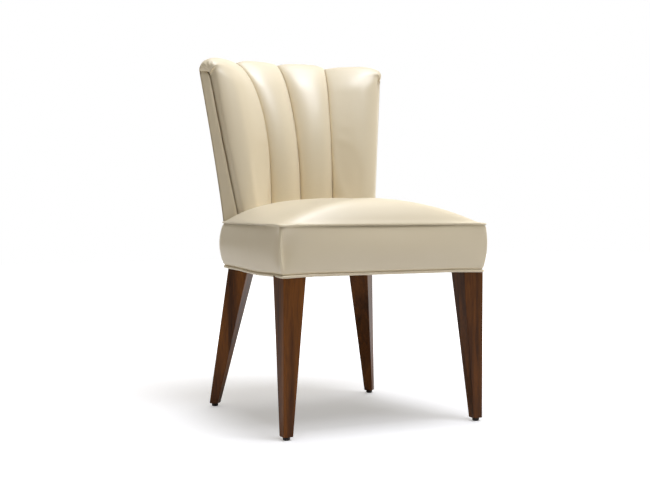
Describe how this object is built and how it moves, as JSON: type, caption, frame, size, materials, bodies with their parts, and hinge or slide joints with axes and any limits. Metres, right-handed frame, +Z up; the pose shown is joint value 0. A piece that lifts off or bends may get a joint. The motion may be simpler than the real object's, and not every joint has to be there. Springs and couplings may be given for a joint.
{
  "type": "armless upholstered dining chair",
  "caption": "Armless upholstered chair with a tight crowned seat, a concave fan-channelled leather back and tapered square wooden legs on glides.",
  "frame": {"origin": "centre of the bounding box on the floor, under the glides", "axes": "+Z up; -Y is the chair's front, the way a sitter faces; +X is to the right seen from in front"},
  "size_m": [0.502, 0.5873, 0.846],
  "materials": {
    "cream_leather": "smooth upholstery leather with a soft sheen",
    "cream_welt": "leather piping",
    "walnut": "dark stained and satin lacquered",
    "frame_beech": "unfinished hardwood",
    "panel_board": "thin bent plywood",
    "seat_filling": "covered foam",
    "channel_filling": "stuffed wadding",
    "webbing": "woven webbing",
    "dust_cloth": "thin black cloth",
    "glide_plastic": "dark brown nylon",
    "zinc": "zinc plated"
  },
  "bodies": {
    "root": {"seat_top_cover": "cream_leather", "seat_band": "cream_leather", "left_outer_channel_cover": "cream_leather", "left_inner_channel_cover": "cream_leather", "right_inner_channel_cover": "cream_leather", "right_outer_channel_cover": "cream_leather", "left_side_strip": "cream_leather", "right_side_strip": "cream_leather", "outside_back_cover": "cream_leather", "seat_top_welt": "cream_welt", "seat_bottom_welt": "cream_welt", "front_left_leg": "walnut", "front_right_leg": "walnut", "rear_left_leg": "walnut", "rear_right_leg": "walnut", "seat_front_rail": "frame_beech", "seat_left_rail": "frame_beech", "seat_right_rail": "frame_beech", "seat_rear_rail": "frame_beech", "front_left_corner_block": "frame_beech", "front_right_corner_block": "frame_beech", "rear_left_corner_block": "frame_beech", "rear_right_corner_block": "frame_beech", "back_left_post": "frame_beech", "back_right_post": "frame_beech", "back_top_rail": "frame_beech", "back_stuffing_rail": "frame_beech", "back_centre_stile": "frame_beech", "back_dowels": "frame_beech", "back_panel": "panel_board", "seat_foam": "seat_filling", "seat_edge_padding": "seat_filling", "left_outer_channel_filling": "channel_filling", "left_inner_channel_filling": "channel_filling", "right_inner_channel_filling": "channel_filling", "right_outer_channel_filling": "channel_filling", "webbing_lengthways": "webbing", "webbing_crossways": "webbing", "dust_cover": "dust_cloth", "front_left_glide": "glide_plastic", "front_right_glide": "glide_plastic", "rear_left_glide": "glide_plastic", "rear_right_glide": "glide_plastic", "glide_nails": "zinc", "leg_bolts": "zinc", "leg_washers": "zinc", "leg_nuts": "zinc"}
  },
  "joints": []
}
